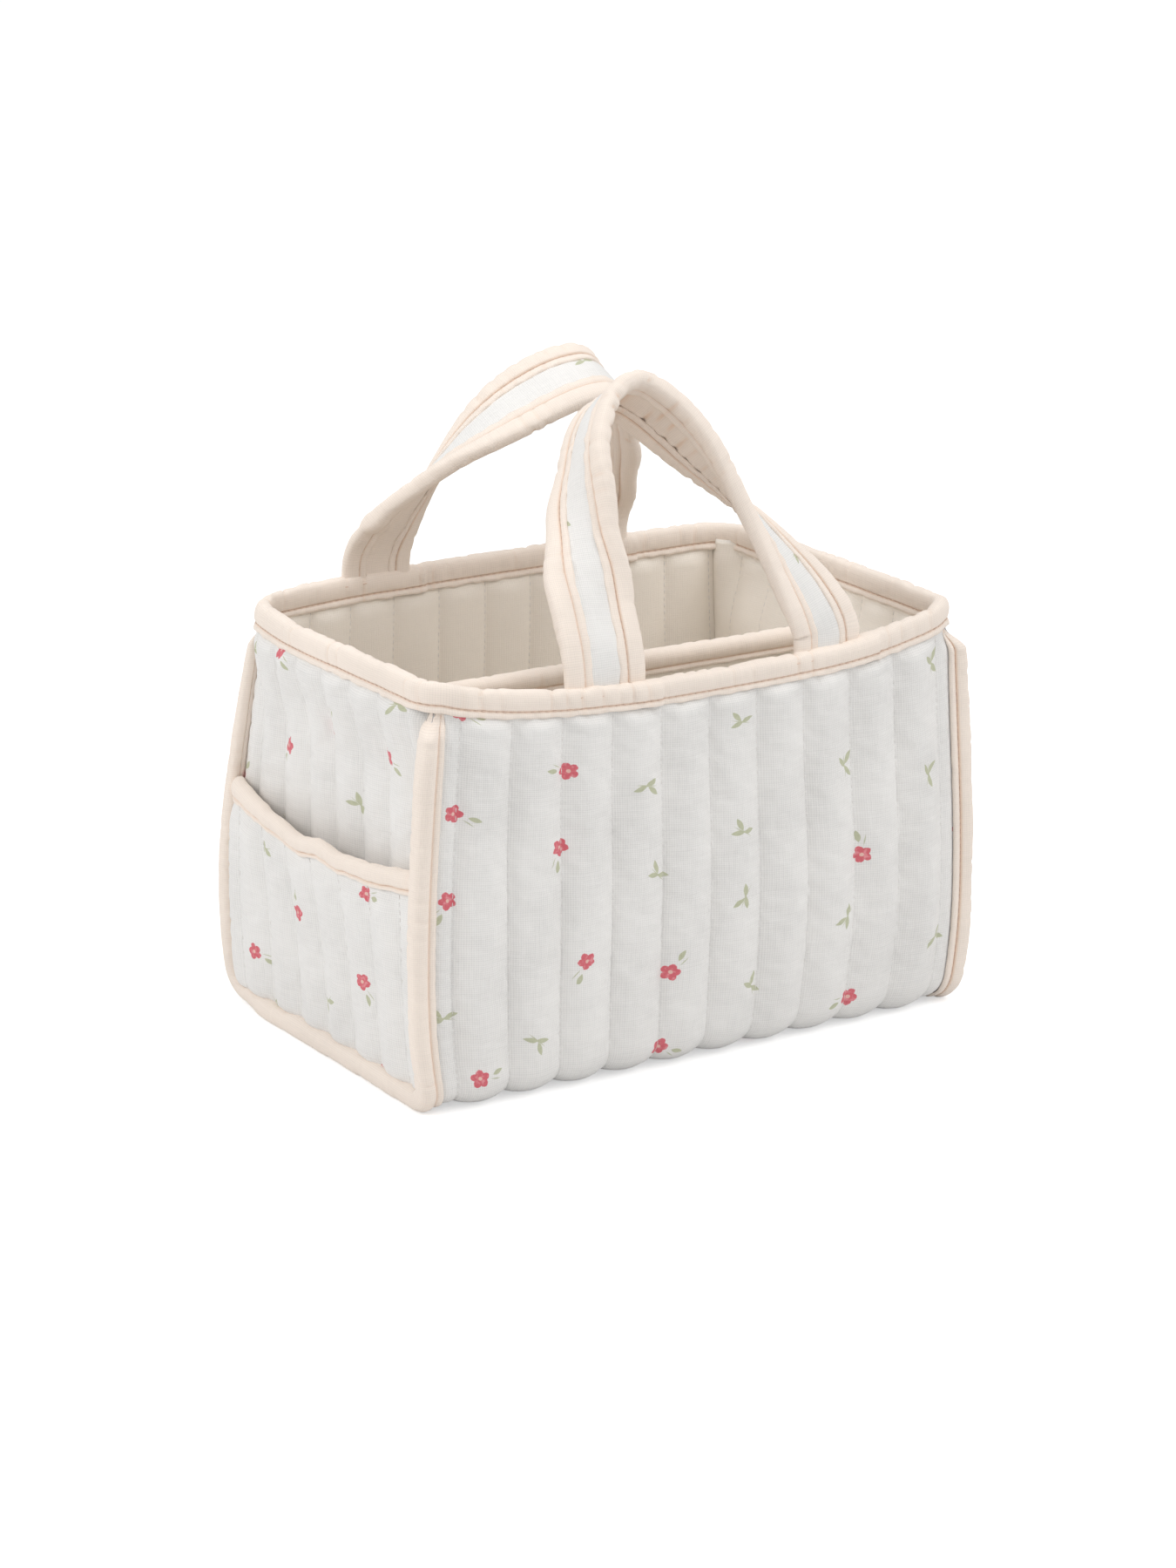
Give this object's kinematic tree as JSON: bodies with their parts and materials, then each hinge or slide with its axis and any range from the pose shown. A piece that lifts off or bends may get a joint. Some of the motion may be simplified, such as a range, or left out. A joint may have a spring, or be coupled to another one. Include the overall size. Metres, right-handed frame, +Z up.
{
  "type": "diaper caddy",
  "caption": "Soft quilted open-top caddy with bound edges, carrying handles, end pockets and a lift-out divider, for carrying nursery things.",
  "frame": {"origin": "on the floor under the middle of the base", "axes": "+X along the length to the right, -Y to the front, +Z up"},
  "size_m": [0.319, 0.2222, 0.3248],
  "materials": {
    "cover_cloth": "off-white crinkled muslin with a small scattered print, matt",
    "binding_cloth": "blush muslin, matt, softly padded",
    "lining_cloth": "warm cream muslin, matt",
    "wadding": "loose polyester batt",
    "grip_tape": "hook and loop tape, fuzzy"
  },
  "bodies": {
    "tote": {"wrap_cover": "cover_cloth", "wrap_wadding": "wadding", "wrap_lining": "lining_cloth", "left_end_cover": "cover_cloth", "left_end_wadding": "wadding", "left_end_lining": "lining_cloth", "left_pocket_panel": "cover_cloth", "left_pocket_lining": "lining_cloth", "left_pocket_binding": "binding_cloth", "left_end_binding": "binding_cloth", "left_loop_tape": "grip_tape", "right_end_cover": "cover_cloth", "right_end_wadding": "wadding", "right_end_lining": "lining_cloth", "right_pocket_panel": "cover_cloth", "right_pocket_lining": "lining_cloth", "right_pocket_binding": "binding_cloth", "right_end_binding": "binding_cloth", "right_loop_tape": "grip_tape", "rim_binding": "binding_cloth", "front_handle_left_tab": "binding_cloth", "front_handle_right_tab": "binding_cloth", "back_handle_left_tab": "binding_cloth", "back_handle_right_tab": "binding_cloth"},
    "front_handle": {"front_handle_cover": "cover_cloth", "front_handle_wadding": "wadding", "front_handle_backing": "binding_cloth", "front_handle_inner_binding": "binding_cloth", "front_handle_outer_binding": "binding_cloth"},
    "back_handle": {"back_handle_cover": "cover_cloth", "back_handle_wadding": "wadding", "back_handle_backing": "binding_cloth", "back_handle_inner_binding": "binding_cloth", "back_handle_outer_binding": "binding_cloth"},
    "divider": {"divider_front_face": "lining_cloth", "divider_wadding": "wadding", "divider_back_face": "lining_cloth", "divider_binding": "binding_cloth", "divider_left_hook_tape": "grip_tape", "divider_right_hook_tape": "grip_tape"}
  },
  "joints": [
    {"name": "front_handle_swing", "type": "hinge", "parent": "tote", "child": "front_handle", "pos_m": [0.008, -0.10111, 0.20122], "axis": [1, 0, 0], "range_deg": [0, 132]},
    {"name": "back_handle_swing", "type": "hinge", "parent": "tote", "child": "back_handle", "pos_m": [0, 0.10111, 0.21018], "axis": [-1, 0, 0], "range_deg": [0, 124]},
    {"name": "divider_lift", "type": "slide", "parent": "tote", "child": "divider", "axis": [0, 0, 1], "range_m": [0, 0.2]}
  ]
}
